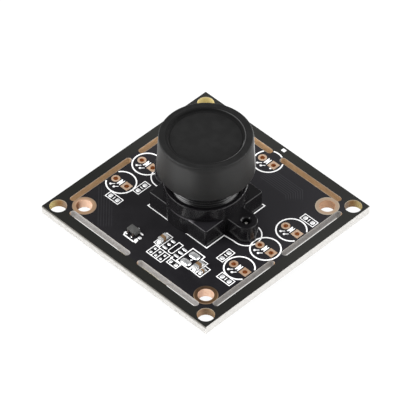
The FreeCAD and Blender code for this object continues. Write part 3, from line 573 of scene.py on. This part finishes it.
class Blank:
    """Points and faces of one piece before it becomes a mesh."""

    def __init__(self):
        self.points = []
        self.faces = []
        self.count = 0

    def add(self, points, faces):
        points = np.asarray(points, float).reshape(-1, 3)
        self.points.append(points)
        for group in faces:
            self.faces += (np.asarray(group) + self.count).tolist()
        self.count += len(points)

    def skin(self, sheet, close_rows=False, cap_rows=False):
        """Four-sided faces between neighbouring rows of a sheet, whose rows run round. The last row can be
        joined to the first, or both can be filled with a face of their own."""
        rows, columns = sheet.shape[:2]
        row, column = np.meshgrid(np.arange(rows - (not close_rows)), np.arange(columns), indexing="ij")
        here, below = row * columns, (row + 1) % rows * columns
        beside = (column + 1) % columns
        quads = np.stack([here + column, below + column, below + beside, here + beside], axis=-1)
        ends = [np.arange(columns)[::-1], np.arange(columns) + (rows - 1) * columns]
        self.add(sheet, [quads.reshape(-1, 4)] + ([ends] if cap_rows else []))
        return self

    def turn(self, outline, steps):
        """Turns an outline of (radius, height) round the lens axis. One that starts and ends off the axis is
        closed into a ring."""
        outline = np.asarray(outline, float)
        angle = np.linspace(0.0, 2.0 * np.pi, steps, endpoint=False)
        closed = outline[0, 0] > 1e-6 and outline[-1, 0] > 1e-6
        return self.skin(around(outline[:, 0, None], angle, outline[:, 1, None]), close_rows=closed)

    def slab(self, outline, low, high):
        """A flat plate: the outline at two heights, a face on each, and walls between them."""
        count = len(outline)
        ring = np.arange(count)
        points = np.concatenate([np.column_stack([outline, np.full(count, level)]) for level in (low, high)])
        walls = np.column_stack([ring, (ring + 1) % count, (ring + 1) % count + count, ring + count])
        self.add(points, [walls, [ring[::-1]], [ring + count]])

    def bar(self, path, width, low, high, closed=False):
        """A flat line: at each path point the sideways direction is the mean of the normals of the two
        stretches that meet there, lengthened at a corner so that the line keeps its width."""
        path = np.asarray(path, float)
        ahead = np.roll(path, -1, axis=0) - path
        if not closed:
            ahead[-1] = ahead[-2]
        square = ahead[:, ::-1] * (-1.0, 1.0) / np.linalg.norm(ahead, axis=1, keepdims=True)
        behind = np.roll(square, 1, axis=0)
        if not closed:
            behind[0] = square[0]
        sideways = square + behind
        sideways /= np.linalg.norm(sideways, axis=1, keepdims=True)
        sideways /= np.maximum((sideways * square).sum(axis=1, keepdims=True), 0.4)
        left, right = path + sideways * width / 2.0, path - sideways * width / 2.0
        flat = np.stack([left, left, right, right], axis=1)
        levels = np.broadcast_to(np.array([low, high, high, low])[:, None], (len(path), 4, 1))
        self.skin(np.concatenate([flat, levels], axis=2), close_rows=closed, cap_rows=not closed)


def placed(name, data):
    """A new object in the scene for a mesh, a light or a camera."""
    made = bpy.data.objects.new(name, data)
    bpy.context.scene.collection.objects.link(made)
    return made


def make_piece(name, blank, material, body, sharp=35.0):
    """Turns a blank into an object in metres that rides on a body. Shading is smooth up to sharp degrees."""
    mesh = bpy.data.meshes.new(name)
    mesh.from_pydata(np.concatenate(blank.points) * MM, [], blank.faces)
    work = bmesh.new()
    work.from_mesh(mesh)
    bmesh.ops.remove_doubles(work, verts=work.verts, dist=1e-7)
    bmesh.ops.recalc_face_normals(work, faces=work.faces)
    work.to_mesh(mesh)
    work.free()
    mesh.shade_smooth()
    mesh.set_sharp_from_angle(angle=math.radians(sharp))
    mesh.materials.append(material)
    piece = placed(name, mesh)
    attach(piece, body)
    print(name, "faces", len(mesh.polygons))
    return piece


print("mesh helpers ready")

# %% [markdown]
# ## The dust cap
#
# The cap is a soft cup, pushed over the lens head. Its outline is turned round the axis: an inner wall, a
# thin mouth, an outer wall that leans in a little so the moulding tool could let go, and a flat top with a
# shallow dish. Each corner is a small arc, because soft rubber has no sharp edges and because those arcs
# carry the thin highlights.

# %% Turn the cap
def dust_cap():
    """The outline goes from the ceiling inside, round the mouth and up the wall to the middle of the dish."""
    top, mouth, outer_foot, outer_top = 17.8, 10.9, 8.03, 7.68
    height = np.linspace(mouth + 0.6, top - 0.45, 8)
    share = (height - mouth) / (top - mouth)
    return Blank().turn(np.concatenate([
        [(0.0, 16.3), (7.05, 16.3), (7.05, mouth + 0.25)],
        corner_arc((7.3, mouth + 0.25), 0.25, 180.0, 270.0, 6),
        corner_arc((outer_foot - 0.25, mouth + 0.25), 0.25, 270.0, 358.0, 6),
        np.column_stack([outer_foot + (outer_top - outer_foot) * share, height]),
        corner_arc((outer_top - 0.28, top - 0.28), 0.28, 2.0, 90.0, 9),
        corner_arc((6.42, top - 0.22), 0.22, 90.0, 170.0, 7),
        corner_arc((5.86, top - 0.32), 0.28, -10.0, -90.0, 7),
        [(radius, top - 0.6) for radius in (5.6, 4.0, 2.0, 0.0)]]), 160)


cap = make_piece("dust_cap", dust_cap(), cap_rubber, "cap")
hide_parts("lens_cap")

# %% [markdown]
# ## The lens barrel and its thread
#
# The barrel is turned in one piece: a threaded tube that screws into the holder, and a wider head with grip
# grooves. The thread is a ridge with a rounded section, carried along a helix that climbs half a millimetre
# a turn. The ridge goes a little into the tube, so no gap shows at its root.

# %% Turn the tube and the head
def barrel_tube():
    """The outline goes up the threaded tube and the head, and back down the steps of the bore."""
    return Blank().turn([
        (5.4, 4.0), (THREAD_ROOT, 4.2), (THREAD_ROOT, 10.2), (6.75, 10.2), (6.9, 10.28), (6.9, 10.5),
        (6.9, 15.6), (6.98, 15.7), (7.0, 15.95), (6.75, 16.2), (6.2, 16.2), (6.02, 15.86), (6.0, 15.72),
        (5.84, 15.54), (5.82, 15.4), (5.66, 15.22), (5.5, 14.9), (5.2, 14.9), (5.2, 10.8), (3.4, 10.8),
        (3.4, 5.2), (2.7, 5.2), (2.7, 4.7), (4.55, 4.7), (4.55, 4.0)], 144)


def grip_band(crest=7.0, inside=6.8):
    """Ring of sixty grooves: the radius falls from the crest by up to 0.12 as the sine of sixty turns of the
    angle dips. The rows at both edges lie lower and have no grooves."""
    angle = np.linspace(0.0, 2.0 * np.pi, 480, endpoint=False)
    heights = np.array([10.45, 10.6, 10.75, 15.35, 15.5, 15.65])[:, None]
    fade = np.array([0.0, 0.4, 1.0, 1.0, 0.4, 0.0])[:, None]
    groove = np.clip(-np.sin(angle * 60.0) + 0.3, 0.0, 1.0)
    outer = around(np.where(fade > 0.0, crest, crest - 0.12) - 0.12 * fade * groove, angle, heights)
    return Blank().skin(np.concatenate([outer, around(inside, angle, heights)[::-1]]), close_rows=True)


def thread_ridge(crest=5.95, low=4.35, high=10.1, pitch=0.5, root=THREAD_ROOT):
    """Rounded ridge along a helix: the height rises by pitch for each turn of the angle. Across the ridge the
    radius swells from root to crest as half of one plus the cosine of the way across. Both ends fade into the
    tube."""
    turns = (high - low) / pitch
    along = np.linspace(0.0, turns, int(turns * 108))[:, None]
    fade = np.clip(np.minimum(along, turns - along) / 0.5, 0.0, 1.0)
    across = np.linspace(-0.49, 0.49, 9)
    swell = 0.5 + 0.5 * np.cos(2.0 * np.pi * across)
    radius = root - 0.02 + (crest - root + 0.02) * fade * swell
    height = low + pitch * (along + across * (0.2 + 0.8 * fade))
    inner = np.full_like(along, root - 0.15)
    radius = np.concatenate([inner, radius, inner], axis=1)
    height = np.concatenate([height[:, :1], height, height[:, -1:]], axis=1)
    return Blank().skin(around(radius, 2.0 * np.pi * along, height), cap_rows=True)


barrel = make_piece("threaded_barrel", barrel_tube(), barrel_black, "barrel", 25.0)
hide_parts("lens_barrel")
make_piece("barrel_grip", grip_band(), barrel_black, "barrel")
make_piece("barrel_thread", thread_ridge(), barrel_black, "barrel", 50.0)

# %% [markdown]
# ## Printed ink
#
# White ink shows where each part goes. It is a film a few hundredths of a millimetre thick, so each line is a
# flat bar with round ends. The slots were routed after printing, so a ring that runs over a slot is cut
# there: its outer edge stops at the slot's wall, and stretches that lie in the slot are dropped.

# %% Helpers for lines and frames
INK = (FACE - 0.002, FACE + 0.022)
INK_WIDTH = 0.14


def disc(centre, radius, steps=20):
    """Points evenly round a circle."""
    return corner_arc(centre, radius, 0.0, 360.0 * (steps - 1) / steps, steps)


def inked(blank, path, width=INK_WIDTH, closed=False, levels=INK):
    """A line with round ends. The end discs are a hair thinner, so that no two faces share a plane."""
    low, high = levels
    blank.bar(path, width, low, high, closed)
    if not closed:
        for end in (path[0], path[-1]):
            blank.slab(disc(end, width / 2.0, 14), low + 0.001, high - 0.001)


def inked_frame(blank, left, right, low, high, width=INK_WIDTH):
    """A closed rectangle whose outside runs from left to right and from low to high."""
    half = width / 2.0
    inked(blank, corners(left + half, right - half, low + half, high - half), width, closed=True)


def in_slot(points):
    """True where a point lies in one of the eight slots: nearer to its middle line than half its width."""
    along, across = np.moveaxis(np.sort(np.abs(points), axis=-1), -1, 0)
    past_end = along - np.clip(along, SLOT_START, SLOT_END)
    return np.hypot(past_end, across - SLOT_LINE) < SLOT_HALF_WIDTH


print("ink height", INK)


# %% Print the seven lamp marks
def lamp_ring(blank, centre, radius, width):
    """A ring in short straight stretches. Points of its outer edge that fall in a slot are pulled back to the
    slot's wall, and a stretch whose middle lies in the slot is left out."""
    steps = 96
    inner, outer = disc(centre, radius - width / 2.0, steps), disc(centre, radius + width / 2.0, steps)
    stands = (np.abs(inner) < SLOT_WALL).all(axis=1)
    outer = np.where((in_slot(outer) & stands)[:, None], np.clip(outer, -SLOT_WALL, SLOT_WALL), outer)
    lost = in_slot(inner) | in_slot(outer)
    keep = ~(lost | np.roll(lost, -1))
    kept = np.flatnonzero(keep)
    following = (kept + 1) % steps
    flat = np.stack([inner[kept], outer[kept], outer[following], inner[following]], axis=1).reshape(-1, 2)
    points = np.concatenate([np.column_stack([flat, np.full(len(flat), level)]) for level in INK])
    base = np.arange(0, len(flat), 4)[:, None]
    faces = [base + np.arange(4) + len(flat), base + np.arange(4)[::-1]]
    everywhere = np.ones(len(kept), bool)
    for k, where in enumerate((~keep[kept - 1], everywhere, ~keep[following], everywhere)):
        wall = (base + [k, (k + 1) % 4])[where]
        faces.append(np.concatenate([wall, wall[:, ::-1] + len(flat)], axis=1))
    blank.add(points, faces)


ARROW = np.array([(-0.4, -0.66), (-0.24, -0.66), (0.1, -0.16), (0.1, -0.64), (0.28, -0.64), (0.28, 0.64),
                  (0.1, 0.64), (0.1, 0.16), (-0.24, 0.66), (-0.4, 0.66)])


def lamp_mark(blank, centre):
    """A ring with an arrowhead and a bar in it, and two short rays of light."""
    lamp_ring(blank, centre, 2.51, 0.24)
    blank.slab(centre + ARROW, *INK)
    for start in centre + np.array([(-1.05, -1.43), (-0.2, -1.5)]):
        blank.slab(disc(start, 0.21), *INK)
        inked(blank, [start, start + 0.5], 0.13)


lamps = [(side * 13.6, row * 6.0) for side in (-1, 1) for row in (-1, 0, 1)] + [(0.0, 14.5)]
lamp_ink = Blank()
for spot in lamps:
    lamp_mark(lamp_ink, spot)
make_piece("lamp_marks", lamp_ink, printed_ink, "board")

# %% [markdown]
# ## Footprints without their parts
#
# Several footprints on the front were left empty. Each has an ink frame and two or more tinned pads. A tinned
# pad isn't flat: solder is drawn up into a low cushion while it is liquid. So a pad is a sheet of rings whose
# height falls off towards its edge, over an outline that is a square with soft corners.

# %% Cushions of tin
def tin_pad(blank, x, y, length, width, height=0.06):
    """Soft-cornered cushion: the outline's radius is one over the fourth root of the summed fourth powers of
    cosine and sine, scaled to length and width. The height is one minus the fourth power of the way out."""
    out = np.array([0.0, 0.35, 0.6, 0.8, 0.92, 1.0])[:, None]
    angle = np.linspace(0.0, 2.0 * np.pi, 28, endpoint=False)
    squared = (np.abs(np.cos(angle)) ** 4 + np.abs(np.sin(angle)) ** 4) ** -0.25
    cushion = around(out * squared, angle, FACE + 0.005 + height * (1.0 - out ** 4))
    blank.skin(cushion * [length / 2.0, width / 2.0, 1.0] + [x, y, 0.0])


def chip_site(ink, tin, x, y, way):
    """Frame, two pads and a middle bar for a small resistor that lies along way, (1, 0) or (0, 1)."""
    middle, way = np.array([x, y]), np.array(way)
    side = way[::-1]
    half = way * 1.5 + side * 0.73
    inked_frame(ink, x - half[0], x + half[0], y - half[1], y + half[1])
    inked(ink, [middle - side * 0.27, middle + side * 0.27])
    for spot in (middle - way * 0.78, middle + way * 0.78):
        tin_pad(tin, *spot, *(way * 0.72 + side * 0.78))


ink, tin = Blank(), Blank()
for x, y in ((13.77, -9.27), (14.13, 9.56), (-11.87, -9.27)):
    chip_site(ink, tin, x, y, (1.0, 0.0))
for x, y in ((10.1, -5.58), (-10.35, -4.5)):
    chip_site(ink, tin, x, y, (0.0, 1.0))
print("points of ink and tin", ink.count, tin.count)

# %% Frames and pads of the larger empty sites
for sides in ((0.42, 3.88, -14.12, -11.88), (4.32, 6.56, -13.42, -12.12), (5.2, 8.08, -12.05, -8.12, 0.18)):
    inked_frame(ink, *sides)
for x in (1.55, 2.62):
    inked(ink, [(x, -13.95), (x, -12.05)], 0.13)
for x in (1.02, 2.1, 3.22):
    for y in (-13.52, -12.52):
        tin_pad(tin, x, y, 0.43, 0.46, 0.04)
inked(ink, np.concatenate([[(2.78, -8.88), (3.74, -8.88)], corner_arc((3.44, -11.2), 0.3, 0.0, -90.0, 6),
                           corner_arc((3.08, -11.2), 0.3, -90.0, -180.0, 6)]), closed=True)
for y, left_length in ((-11.25, 0.95), (-10.3, 0.62), (-9.38, 0.95)):
    tin_pad(tin, 4.54, y, 1.0, 0.43)
    tin_pad(tin, 1.93, y, left_length, 0.43)
inked(ink, [(4.3, -12.2), (4.3, -11.9)], 0.3)
tin_pad(tin, 4.86, -12.77, 0.5, 0.6)
tin_pad(tin, 5.98, -12.77, 0.6, 0.6)
wide_tin = Blank()
for x, y, length, width, height in ((6.65, -9.2, 1.95, 1.25, 0.16), (6.6, -11.14, 1.9, 1.2, 0.16),
                                    (6.9, -10.15, 0.35, 0.35, 0.06)):
    tin_pad(wide_tin, x, y, length, width, height)
make_piece("wide_pads", wide_tin, solder_tin, "board", 60.0)
print("points of ink and tin", ink.count, tin.count)

# %% Frames of the fitted capacitors, transistor marks and holder outline
for sides in ((-0.2, 1.3, -11.78, -8.72), (8.12, 9.46, -11.95, -8.85), (9.4, 10.66, -11.98, -9.5)):
    inked_frame(ink, *sides)
inked(ink, [(-4.95, -13.62), (-4.78, -13.95), (-2.62, -13.97)], 0.24)
ink.slab(disc((-4.98, -13.4), 0.2), *INK)
patch = [(-2.78, -13.62), (-2.74, -13.1), (-2.22, -13.2), (-2.05, -13.97), (-2.4, -13.97)]
ink.slab(patch, INK[0], INK[1] + 0.002)
tin_pad(tin, -2.46, -12.66, 0.6, 0.55)
inked(ink, [(-3.1, -11.8), (-2.6, -11.84)], 0.26)
inked(ink, [(-6.72, -5.9), (-6.72, -6.58), (-1.6, -6.58)], 0.2)
inked(ink, np.concatenate([[(1.85, -6.58), (6.78, -6.58), (6.78, -2.6), (7.6, -2.5)],
                           corner_arc((9.2, 0.1), 2.5, 262.0, 442.0, 40)]), 0.2)
inked(ink, [(6.75, 4.4), (6.75, 6.85), (6.25, 6.85)], 0.2)
inked(ink, np.concatenate([[(-6.78, -2.6), (-7.6, -2.5)],
                           corner_arc((-9.2, 0.05), 2.5, 282.0, 157.0, 28)]), 0.2)
ink.slab(corners(-0.33, 0.4, 17.9, 18.5), *INK)
ink.slab(disc((1.39, 13.6), 0.18), *INK)
make_piece("site_marks", ink, printed_ink, "board")
make_piece("tinned_pads", tin, bright_tin, "board", 60.0)

# %% [markdown]
# ## Solder at the fitted parts
#
# Every soldered end has a fillet: the solder climbs the metal and runs out over its pad in a hollow curve. A
# fillet here is that curve, carried across the width of the part's end. The height falls as the square of
# what is left of the way out, which gives the hollow.

# %% Hollow fillets
def fillet(blank, x, y, width, reach, height, way, floor=FACE, up=1.0):
    """Solder that starts at (x, y) and runs out along way, a unit direction in the board's plane. Across the
    width both reach and height are scaled by the root of one minus the fourth power of the way across."""
    out = np.linspace(0.0, 1.0, 9)[:, None]
    across = np.linspace(-1.0, 1.0, 9)
    bulge = np.sqrt(1.0 - across ** 4) * 0.85 + 0.15
    ahead = out * reach * bulge
    aside = across * width / 2.0 * (1.0 + 0.12 * out)
    crown = floor + up * (height * (1.0 - out) ** 2 + 0.012) * bulge
    upper = np.stack([x + ahead * way[0] - aside * way[1], y + ahead * way[1] + aside * way[0], crown], -1)
    lower = upper[:, ::-1] * [1.0, 1.0, 0.0] + [0.0, 0.0, floor]
    blank.skin(np.concatenate([upper, lower], axis=1), cap_rows=True)


solder = Blank()
for x, y, length, width, height in ((0.5, -10.255, 1.65, 0.85, 0.62), (8.8, -10.455, 1.65, 0.85, 0.62),
                                    (10.05, -10.805, 1.05, 0.55, 0.4)):
    for side in (-1, 1):
        fillet(solder, x, y + side * length / 2.0, width * 1.05, length * 0.27, height, (0.0, side))
        half, start, end = width / 2.0 + 0.01, y + side * length * 0.19, y + side * length * 0.45
        solder.slab(corners(x - half, x + half, start, end)[::side],
                    FACE + 0.02, FACE + (0.81 if length > 1.5 else 0.51))
for x, side in ((-4.65, -1), (-3.55, -1), (-4.1, 1)):
    fillet(solder, x, -12.395 + side * 1.0, 0.3, 0.24, 0.1, (0.0, side))
make_piece("front_solder", solder, solder_tin, "board", 60.0)

# %% [markdown]
# ## Solder and ink on the back
#
# The back has far more soldered ends than the front, in rows: round the square processor, along the memory
# chip and the regulators, and behind the connectors' pins. So loops lay the same fillet upside down under the
# board. Short ink lines mark the corners and the long sides of each part, and a dot marks its first lead.

# %% Draw the back
BACK_INK = (-0.022, 0.002)
back_solder, back_ink = Blank(), Blank()


def back_row(x, y, width, reach, height, way):
    """Upside-down fillets: one if x and y are numbers, or a row of them if either is an array."""
    for spot in np.broadcast(x, y):
        fillet(back_solder, *spot, width, reach, height, way, floor=0.0, up=-1.0)


def spread(count, pitch):
    """Shifts of count leads about the middle of their row, pitch apart."""
    return (np.arange(count) - (count - 1) / 2.0) * pitch


def back_line(path, width=0.15, closed=False):
    inked(back_ink, path, width, closed, BACK_INK)


def back_corner(x, y, across, down):
    """Two strokes that meet at a right angle at (x, y)."""
    back_line([(x + across, y), (x, y), (x, y + down)])


for side, height in ((-1, 0.22), (1, 0.3)):
    back_row(side * 4.5, spread(12, 0.5) - 0.5, 0.26, 0.22, 0.1, (side, 0.0))
    back_row(spread(12, 0.5), side * 4.5 - 0.5, 0.26, 0.22, 0.1, (0.0, side))
    back_row(side * 6.05, spread(5, 1.05) - 0.5, 0.55, 0.2, height, (side, 0.0))
    back_row(side * 5.0, spread(5, 1.05) - 0.5, 0.55, 0.2, height, (-side, 0.0))
for x, side in ((-6.9, -1), (-0.5, 1)):
    back_row(x, spread(4, 0.65) + 6.0, 0.28, 0.25, 0.1, (side, 0.0))
for middle in (-3.4, 0.0):
    back_row(middle + spread(3, 0.95), -5.5, 0.4, 0.2, 0.12, (0.0, 1))
    back_row(middle + spread(2, 1.9), -8.3, 0.4, 0.35, 0.12, (0.0, -1))
for x, y, width, reach, height, side in ((2.45, -7.0, 1.3, 0.35, 0.45, -1), (5.75, -7.0, 1.3, 0.4, 0.45, 1),
                                         (-9.15, -6.9, 2.2, 0.4, 0.5, -1), (-5.35, -6.9, 2.2, 0.18, 0.5, 1)):
    back_row(x, y, width, reach, height, (side, 0.0))
for middle, count, y, side in ((0.0, 5, -10.27, 1), (-7.0, 2, 10.27, -1), (7.0, 2, 10.27, -1)):
    back_row(middle + spread(count, 1.25), y, 0.42, 0.4, 0.18, (0.0, side))
make_piece("back_solder", back_solder, solder_tin, "board", 60.0)

for side in (-1, 1):
    back_corner(side * 3.95, -4.45, side * -0.75, 0.75)
    back_corner(side * 3.95, 3.45, side * -0.75, -0.75)
    back_line(corners(side * 5.0, side * 6.55, 2.12, -3.13))
    back_corner(side * 5.0, -10.73, side * -0.9, -0.87)
    for middle in (-7.0, 7.0):
        back_corner(middle + side * 3.13, 10.73, side * -0.93, 0.87)
for y in (4.25, 7.75):
    back_line([(-5.9, y), (-1.5, y)])
back_line(corners(0.25, 5.75, 4.25, 7.95), closed=True)
for left, right in ((2.6, 5.6), (-9.0, -5.5)):
    for y in (-5.25, -8.75):
        back_line([(left, y), (right, y)])
back_line([(-9.85, -8.2), (-9.85, -5.6)], 0.4)
for x in (-5.1, -1.7, 1.7):
    back_line([(x, -7.6), (x, -6.2)], 0.12)
for spot in ((-4.75, -3.95), (-6.6, 4.45), (-3.3, -10.3), (-8.4, 10.2), (5.6, 10.2)):
    back_ink.slab(disc(spot, 0.18), *BACK_INK)
make_piece("back_marks", back_ink, printed_ink, "board")

# %% [markdown]
# ## Floor, light and camera
#
# The board lies on a pale floor, on the connectors under it. The floor is white to the camera, and keeps a
# share of real shade, so the board still stands on something. From below it is clear, so that the board's
# back can be seen. Light is soft and comes from big panels at both sides and from above and behind, which
# draws the pale lines down the sides of the barrel, and those down the cap together with the painted sheen in
# its colour.

# %% Lay the floor
def floor_finish():
    """Plain diffuse white, mixed with a white glow that only the camera sees, and nothing on its back."""
    material = bpy.data.materials.new("floor_white")
    net = Net(material)
    shade = net.node("BsdfDiffuse", {"Color": (0.9, 0.9, 0.9, 1.0)})
    glow = net.node("Emission", {"Strength": 1.05})
    seen = net.node("LightPath")["Is Camera Ray"] * 0.9
    top = net.node("MixShader", {0: seen, 1: shade, 2: glow})
    below = net.node("NewGeometry")["Backfacing"]
    clear = net.node("BsdfTransparent")
    both = net.node("MixShader", {0: below, 1: top, 2: clear})
    net.node("OutputMaterial", {"Surface": both})
    return material


def lay_floor(half_side=1.5, level=-0.00343):
    """A square in metres, just under the connectors."""
    mesh = bpy.data.meshes.new("floor")
    outline = corners(-half_side, half_side, -half_side, half_side)
    mesh.from_pydata([(x, y, level) for x, y in outline], [], [(0, 1, 2, 3)])
    mesh.materials.append(floor_finish())
    floor = placed("floor", mesh)
    return floor


print("floor", lay_floor().name)


# %% Set the lights
def panel(name, spot, size, power):
    """A square light that faces the middle of the part."""
    data = bpy.data.lights.new(name, "AREA")
    data.size = size
    data.energy = power
    lamp = placed(name, data)
    lamp.location = spot
    away_from_middle = Vector(spot - [0.0, 0.0, 0.006])
    lamp.rotation_euler = away_from_middle.to_track_quat("Z", "Y").to_euler()


def light_studio():
    """A white world, dimmer as a light than as a background, and seven panels. Each panel's place is given in
    metres to the right of the part, away behind it and above it, as the camera sees them."""
    world = bpy.data.worlds.new("studio")
    net = Net(world)
    seen = net.node("LightPath")["Is Camera Ray"]
    level = net.node("MapRange", {"Value": seen, "To Min": 0.33, "To Max": 1.0})
    back = net.node("Background", {"Color": (1.0, 1.0, 1.0, 1.0), "Strength": level})
    net.node("OutputWorld", {"Surface": back})
    bpy.context.scene.world = world
    right = np.array([1.0, 1.0, 0.0]) / math.sqrt(2.0)
    away = np.array([-1.0, 1.0, 0.0]) / math.sqrt(2.0)
    for name, to_right, behind, above, size, power in (
            ("left_panel", -0.3, -0.03, 0.45, 0.3, 1.6),
            ("right_panel", 0.3, -0.03, 0.45, 0.28, 1.05),
            ("low_left_panel", -0.42, -0.06, 0.18, 0.26, 1.3),
            ("low_right_panel", 0.42, -0.06, 0.18, 0.26, 0.78),
            ("left_strip", -0.34, -0.26, 0.14, 0.16, 0.36),
            ("right_strip", 0.34, -0.26, 0.14, 0.16, 0.36),
            ("edge_panel", 0.34, 0.28, 0.1, 0.2, 1.0)):
        panel(name, to_right * right + behind * away + [0.0, 0.0, above], size, power)


light_studio()
print("lights", len(bpy.data.lights))


# %% Point the camera as the picture was taken
def set_camera():
    """The camera's own axes are right, up and back towards the eye. It rolls a little and moves out along
    them, far back because its lens is long. Then it is tilted from the zenith and turned round the part."""
    azimuth, tilt, roll = (math.radians(angle) for angle in (44.936, 90.0 - 45.727, 0.123))
    shift_right, shift_up, distance = -0.948, 2.1, 645.721
    focal, picture_width = 3955.848, 400.0
    data = bpy.data.cameras.new("photo_camera")
    data.sensor_width = 36.0
    data.lens = focal / picture_width * data.sensor_width
    data.clip_start, data.clip_end = 0.05, 5.0
    camera = placed("photo_camera", data)
    turned = Matrix.Rotation(azimuth, 4, "Z") @ Matrix.Rotation(tilt, 4, "X")
    moved = Matrix.Translation(Vector((shift_right, shift_up, distance)) * MM)
    camera.matrix_world = turned @ moved @ Matrix.Rotation(roll, 4, "Z")
    bpy.context.scene.camera = camera
    return camera


camera = set_camera()
bpy.context.scene.view_settings.view_transform = "Standard"
print("camera at", [round(v, 3) for v in camera.matrix_world.translation])
